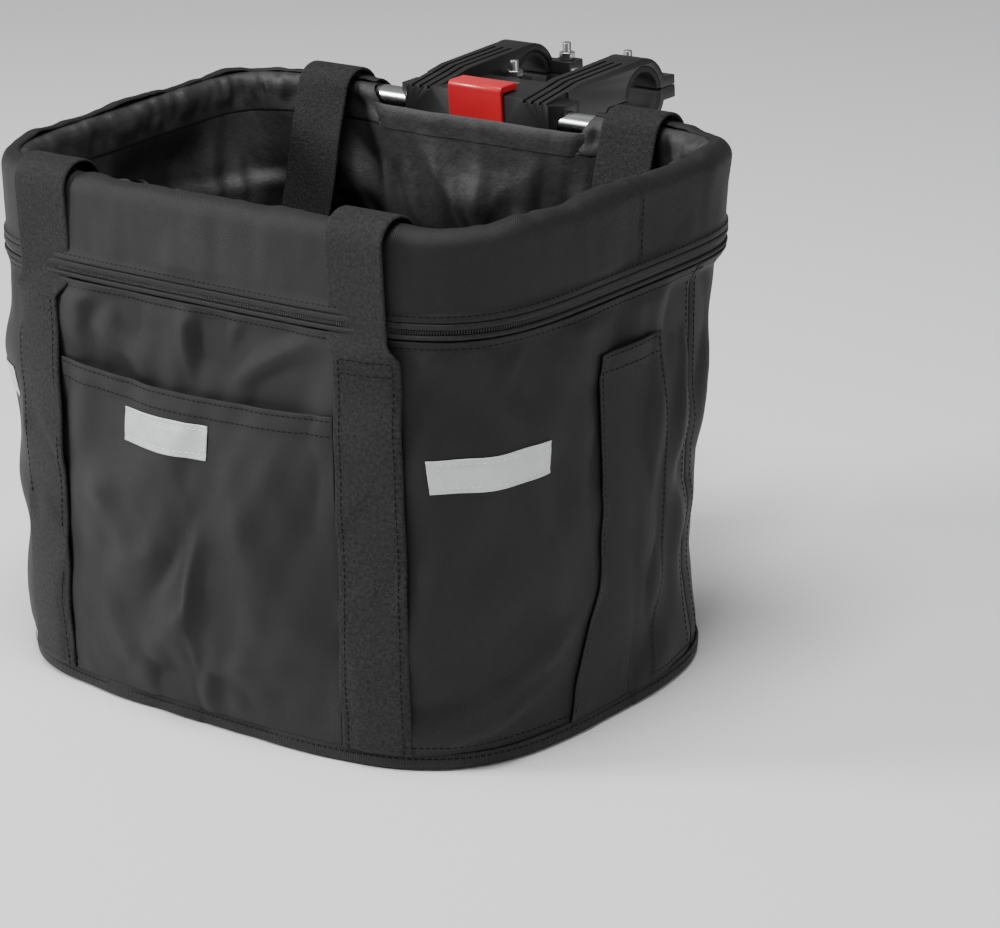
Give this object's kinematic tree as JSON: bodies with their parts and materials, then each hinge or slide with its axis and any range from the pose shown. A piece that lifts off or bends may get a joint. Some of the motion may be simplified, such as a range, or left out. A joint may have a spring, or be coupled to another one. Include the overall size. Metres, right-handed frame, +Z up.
{
  "type": "handlebar basket",
  "caption": "Fabric handlebar basket on an aluminium hoop, with carrying handles, pockets, a zip and a quick-release bracket that clamps round the handlebar.",
  "frame": {"origin": "underside of the base, under the middle of the rim", "axes": "+Z up, -Y towards the front of the basket, away from the handlebar, X along the handlebar"},
  "size_m": [0.3628, 0.3558, 0.2769],
  "materials": {
    "oxford": "woven polyester oxford cloth, black, foam backed",
    "webbing": "woven polypropylene webbing, black",
    "lining": "thin coated nylon, satin",
    "zip_tape": "fine woven tape",
    "zip_coil": "black nylon coil",
    "zip_metal": "black lacquered die casting",
    "board": "plain sheet",
    "reflective": "silver reflective transfer tape",
    "cord": "round braided cord",
    "lock_plastic": "moulded, satin",
    "hoop": "drawn tube, bright",
    "housing": "glass-filled nylon, fine spark texture",
    "rubber": "matt",
    "button": "red moulded plastic, satin gloss",
    "steel": "zinc plated",
    "fasteners": "stainless"
  },
  "bodies": {
    "basket": {"rim_sleeve": "oxford", "front_panel": "oxford", "right_side_panel": "oxford", "left_side_panel": "oxford", "back_panel": "oxford", "base_panel": "oxford", "front_pocket": "oxford", "right_side_pocket": "oxford", "left_side_pocket": "oxford", "bottom_binding": "webbing", "front_left_strap": "webbing", "rear_left_strap": "webbing", "front_right_strap": "webbing", "rear_right_strap": "webbing", "front_left_bend": "webbing", "rear_left_bend": "webbing", "front_right_bend": "webbing", "rear_right_bend": "webbing", "lining": "lining", "zip_tape_lower": "zip_tape", "zip_tape_upper": "zip_tape", "zip_coil": "zip_coil", "base_board": "board", "front_reflector": "reflective", "right_reflector": "reflective", "left_reflector": "reflective", "drawcord": "cord", "rim_hoop": "hoop", "hoop_joiner": "hoop", "carrier_housing": "housing", "carrier_keeper": "housing", "button_spring_left": "steel", "button_spring_right": "steel", "keeper_screw_left": "steel", "keeper_screw_right": "steel", "hoop_screw_left": "steel", "hoop_screw_right": "steel"},
    "zip_slider": {"zip_slider": "zip_metal"},
    "zip_puller": {"zip_puller": "zip_metal"},
    "front_handle": {"front_handle": "webbing"},
    "rear_handle": {"rear_handle": "webbing"},
    "cord_lock": {"cord_lock_body": "lock_plastic"},
    "cord_lock_plunger": {"cord_lock_plunger": "lock_plastic"},
    "release": {"release_button": "button", "latch_slide": "steel"},
    "bracket": {"bracket_body": "housing", "left_upper_shim": "rubber", "right_upper_shim": "rubber", "left_front_clamp_nut": "fasteners", "left_rear_clamp_nut": "fasteners", "right_front_clamp_nut": "fasteners", "right_rear_clamp_nut": "fasteners"},
    "left_clamp": {"left_clamp_jaw": "housing", "left_lower_shim": "rubber", "left_front_clamp_screw": "fasteners", "left_rear_clamp_screw": "fasteners"},
    "right_clamp": {"right_clamp_jaw": "housing", "right_lower_shim": "rubber", "right_front_clamp_screw": "fasteners", "right_rear_clamp_screw": "fasteners"}
  },
  "joints": [
    {"name": "zip_run", "type": "slide", "parent": "basket", "child": "zip_slider", "axis": [-1, 0, 0], "range_m": [0, 0.14]},
    {"name": "zip_puller_swing", "type": "hinge", "parent": "zip_slider", "child": "zip_puller", "pos_m": [0.075, 0.124, 0.221], "axis": [1, 0, 0], "range_deg": [0, 165]},
    {"name": "front_handle_swing", "type": "hinge", "parent": "basket", "child": "front_handle", "pos_m": [0, -0.1068, 0.2596], "axis": [1, 0, 0], "range_deg": [0, 180], "deforming": ["front_left_bend", "front_right_bend"]},
    {"name": "rear_handle_swing", "type": "hinge", "parent": "basket", "child": "rear_handle", "pos_m": [0, 0.1085, 0.2596], "axis": [-1, 0, 0], "range_deg": [-18, 162], "deforming": ["rear_left_bend", "rear_right_bend"]},
    {"name": "cord_lock_run", "type": "slide", "parent": "basket", "child": "cord_lock", "axis": [0, 0, 1], "range_m": [-0.022, 0.006], "deforming": ["drawcord"]},
    {"name": "cord_lock_press", "type": "slide", "parent": "cord_lock", "child": "cord_lock_plunger", "axis": [0, 1, 0], "range_m": [0, 0.003], "stiffness_N_per_m": 30},
    {"name": "release_press", "type": "slide", "parent": "basket", "child": "release", "axis": [0, 1, 0], "range_m": [0, 0.0025], "stiffness_N_per_m": 300, "deforming": ["button_spring_left", "button_spring_right"]},
    {"name": "bracket_lift_off", "type": "slide", "parent": "basket", "child": "bracket", "axis": [0, 0, -1], "range_m": [0, 0.022]},
    {"name": "left_clamp_open", "type": "slide", "parent": "bracket", "child": "left_clamp", "axis": [0, 0, -1], "range_m": [0, 0.02]},
    {"name": "right_clamp_open", "type": "slide", "parent": "bracket", "child": "right_clamp", "axis": [0, 0, -1], "range_m": [0, 0.02]}
  ]
}
